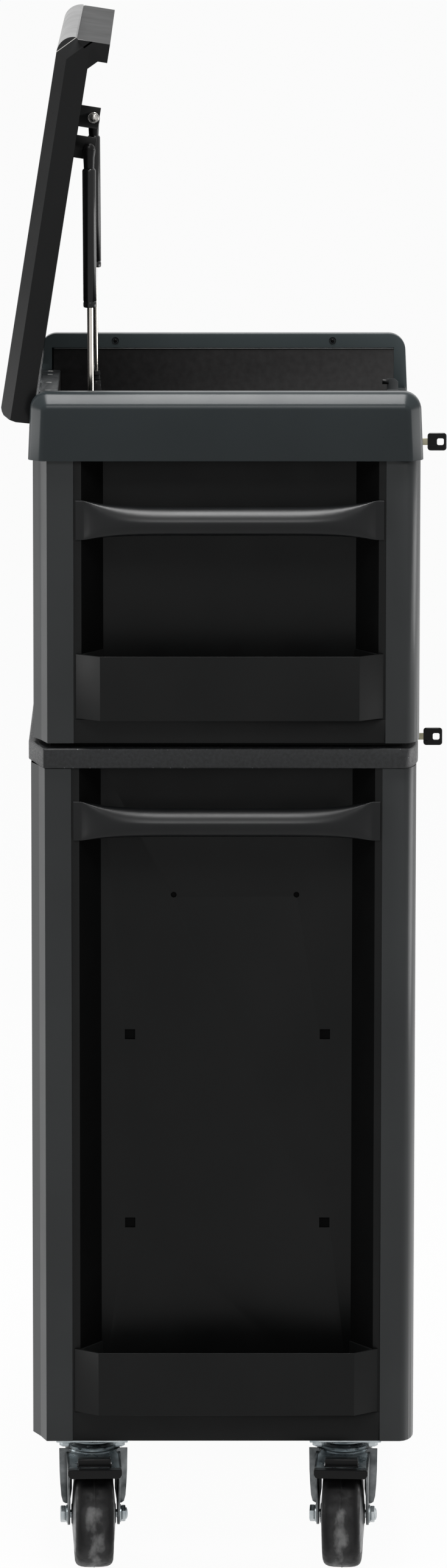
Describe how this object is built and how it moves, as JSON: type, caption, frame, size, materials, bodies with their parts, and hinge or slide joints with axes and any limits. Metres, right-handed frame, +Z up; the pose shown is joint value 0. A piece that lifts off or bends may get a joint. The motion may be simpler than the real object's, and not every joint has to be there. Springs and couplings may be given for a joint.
{
  "type": "rolling tool chest",
  "caption": "Rolling tool chest: a steel top chest with a gas-strut lid on a drawer cabinet, with end handles, pocket trays and casters, the swivel ones braked.",
  "frame": {"origin": "on the floor, under the middle of the whole object with its lid open", "axes": "+X to the right end, away from the push handle; the drawers open towards -Y; +Z is up"},
  "size_m": [0.7583, 0.537, 1.8442],
  "materials": {
    "slate_paint": "satin",
    "slate_plastic": "satin",
    "black_paint": "satin",
    "black_plastic": "satin",
    "worktop_black": "speckled matte",
    "zinc": "bright zinc plating",
    "steel": "nickel plating",
    "chrome": "polished",
    "tyre": "matte"
  },
  "bodies": {
    "chest_body": {"body_hinge_leaf": "steel", "cabinet_base_pan": "black_paint", "cabinet_left_front_post": "slate_paint", "cabinet_left_handle": "black_plastic", "cabinet_left_pocket": "black_paint", "cabinet_left_recess_panel": "black_paint", "cabinet_left_slide_rack": "zinc", "cabinet_rear_shell": "slate_paint", "cabinet_right_front_post": "slate_paint", "cabinet_right_recess_panel": "black_paint", "cabinet_right_slide_rack": "zinc", "cabinet_top_rail": "slate_paint", "chest_base_pan": "black_paint", "chest_left_front_post": "slate_paint", "chest_left_handle": "black_plastic", "chest_left_pocket": "black_paint", "chest_left_recess_panel": "black_paint", "chest_left_slide_rack": "zinc", "chest_rear_shell": "slate_paint", "chest_right_front_post": "slate_paint", "chest_right_handle": "black_plastic", "chest_right_recess_panel": "black_paint", "chest_right_slide_rack": "zinc", "chest_till_pan": "black_paint", "chest_top_rail": "slate_paint", "front_caster_plate": "zinc", "front_rigid_bracket": "zinc", "left_cheek": "slate_plastic", "lid_catch": "steel", "rear_caster_plate": "zinc", "rear_rigid_bracket": "zinc", "right_cheek": "slate_plastic", "worktop": "worktop_black"},
    "lid": {"lid_shell": "slate_paint", "lid_hinge_leaf": "steel", "left_lid_bracket": "zinc", "right_lid_bracket": "zinc"},
    "left_strut_rod": {"left_strut_rod": "chrome"},
    "left_strut_cylinder": {"left_strut_cylinder": "black_paint"},
    "right_strut_rod": {"right_strut_rod": "chrome"},
    "right_strut_cylinder": {"right_strut_cylinder": "black_paint"},
    "chest_drawer_1": {"chest_drawer_1": "slate_paint"},
    "chest_drawer_2": {"chest_drawer_2": "slate_paint"},
    "chest_drawer_3": {"chest_drawer_3": "slate_paint"},
    "cabinet_drawer_1": {"cabinet_drawer_1": "slate_paint"},
    "cabinet_drawer_2": {"cabinet_drawer_2": "slate_paint"},
    "cabinet_drawer_3": {"cabinet_drawer_3": "slate_paint"},
    "cabinet_drawer_4": {"cabinet_drawer_4": "slate_paint"},
    "front_swivel_fork": {"front_caster_fork": "zinc", "front_axle_bolt": "zinc"},
    "front_swivel_wheel": {"front_swivel_wheel": "tyre"},
    "front_brake_pedal": {"front_brake_pedal": "black_plastic"},
    "front_rigid_wheel": {"front_rigid_wheel": "tyre"},
    "rear_swivel_fork": {"rear_caster_fork": "zinc", "rear_axle_bolt": "zinc"},
    "rear_swivel_wheel": {"rear_swivel_wheel": "tyre"},
    "rear_brake_pedal": {"rear_brake_pedal": "black_plastic"},
    "rear_rigid_wheel": {"rear_rigid_wheel": "tyre"},
    "chest_lock_key": {"chest_lock_key": "steel"},
    "cabinet_lock_key": {"cabinet_lock_key": "steel"}
  },
  "joints": [
    {"name": "lid_hinge", "type": "hinge", "parent": "chest_body", "child": "lid", "pos_m": [0, 0.23297, 1.3835], "axis": [1, 0, 0], "range_deg": [0, 81], "stiffness_Nm_per_rad": 4.2, "springref_deg": -42.97},
    {"name": "left_strut_swing", "type": "hinge", "parent": "chest_body", "child": "left_strut_rod", "pos_m": [-0.2435, 0.16297, 1.367], "axis": [1, 0, 0], "range_deg": [0, 90.36]},
    {"name": "left_strut_slide", "type": "slide", "parent": "left_strut_rod", "child": "left_strut_cylinder", "axis": [0, 0.0061, 1], "range_m": [-0.07996, 0]},
    {"name": "right_strut_swing", "type": "hinge", "parent": "chest_body", "child": "right_strut_rod", "pos_m": [0.2435, 0.16297, 1.367], "axis": [1, 0, 0], "range_deg": [0, 90.36]},
    {"name": "right_strut_slide", "type": "slide", "parent": "right_strut_rod", "child": "right_strut_cylinder", "axis": [0, 0.0061, 1], "range_m": [-0.07996, 0]},
    {"name": "chest_drawer_1_slide", "type": "slide", "parent": "chest_body", "child": "chest_drawer_1", "axis": [0, -1, 0], "range_m": [0, 0.3]},
    {"name": "chest_drawer_2_slide", "type": "slide", "parent": "chest_body", "child": "chest_drawer_2", "axis": [0, -1, 0], "range_m": [0, 0.3]},
    {"name": "chest_drawer_3_slide", "type": "slide", "parent": "chest_body", "child": "chest_drawer_3", "axis": [0, -1, 0], "range_m": [0, 0.3]},
    {"name": "cabinet_drawer_1_slide", "type": "slide", "parent": "chest_body", "child": "cabinet_drawer_1", "axis": [0, -1, 0], "range_m": [0, 0.3]},
    {"name": "cabinet_drawer_2_slide", "type": "slide", "parent": "chest_body", "child": "cabinet_drawer_2", "axis": [0, -1, 0], "range_m": [0, 0.3]},
    {"name": "cabinet_drawer_3_slide", "type": "slide", "parent": "chest_body", "child": "cabinet_drawer_3", "axis": [0, -1, 0], "range_m": [0, 0.3]},
    {"name": "cabinet_drawer_4_slide", "type": "slide", "parent": "chest_body", "child": "cabinet_drawer_4", "axis": [0, -1, 0], "range_m": [0, 0.3]},
    {"name": "front_swivel", "type": "hinge", "parent": "chest_body", "child": "front_swivel_fork", "pos_m": [-0.2885, -0.14183, 0.1455], "axis": [0, 0, 1], "continuous": true},
    {"name": "front_swivel_wheel_spin", "type": "hinge", "parent": "front_swivel_fork", "child": "front_swivel_wheel", "pos_m": [-0.32342, -0.13939, 0.065], "axis": [0.0698, 0.9976, 0], "continuous": true},
    {"name": "front_brake", "type": "hinge", "parent": "front_swivel_fork", "child": "front_brake_pedal", "pos_m": [-0.32741, -0.13911, 0.1358], "axis": [-0.0698, -0.9976, 0], "range_deg": [0, 8]},
    {"name": "front_rigid_wheel_spin", "type": "hinge", "parent": "chest_body", "child": "front_rigid_wheel", "pos_m": [0.2885, -0.14183, 0.065], "axis": [0, 1, 0], "continuous": true},
    {"name": "rear_swivel", "type": "hinge", "parent": "chest_body", "child": "rear_swivel_fork", "pos_m": [-0.2885, 0.16317, 0.1455], "axis": [0, 0, 1], "continuous": true},
    {"name": "rear_swivel_wheel_spin", "type": "hinge", "parent": "rear_swivel_fork", "child": "rear_swivel_wheel", "pos_m": [-0.32347, 0.16164, 0.065], "axis": [-0.0436, 0.999, 0], "continuous": true},
    {"name": "rear_brake", "type": "hinge", "parent": "rear_swivel_fork", "child": "rear_brake_pedal", "pos_m": [-0.32746, 0.16147, 0.1358], "axis": [0.0436, -0.999, 0], "range_deg": [0, 8]},
    {"name": "rear_rigid_wheel_spin", "type": "hinge", "parent": "chest_body", "child": "rear_rigid_wheel", "pos_m": [0.2885, 0.16317, 0.065], "axis": [0, 1, 0], "continuous": true},
    {"name": "chest_key_turn", "type": "hinge", "parent": "chest_body", "child": "chest_lock_key", "pos_m": [0, -0.22753, 1.329], "axis": [0, -1, 0], "range_deg": [0, 90]},
    {"name": "cabinet_key_turn", "type": "hinge", "parent": "chest_body", "child": "cabinet_lock_key", "pos_m": [0, -0.22433, 0.964], "axis": [0, -1, 0], "range_deg": [0, 90]}
  ],
  "couplings": [
    {"joint": "left_strut_swing", "follows": "lid_hinge", "ratio": 1.1154},
    {"joint": "left_strut_slide", "follows": "lid_hinge", "m_per_rad": -0.056491},
    {"joint": "right_strut_swing", "follows": "lid_hinge", "ratio": 1.1154},
    {"joint": "right_strut_slide", "follows": "lid_hinge", "m_per_rad": -0.056491}
  ]
}
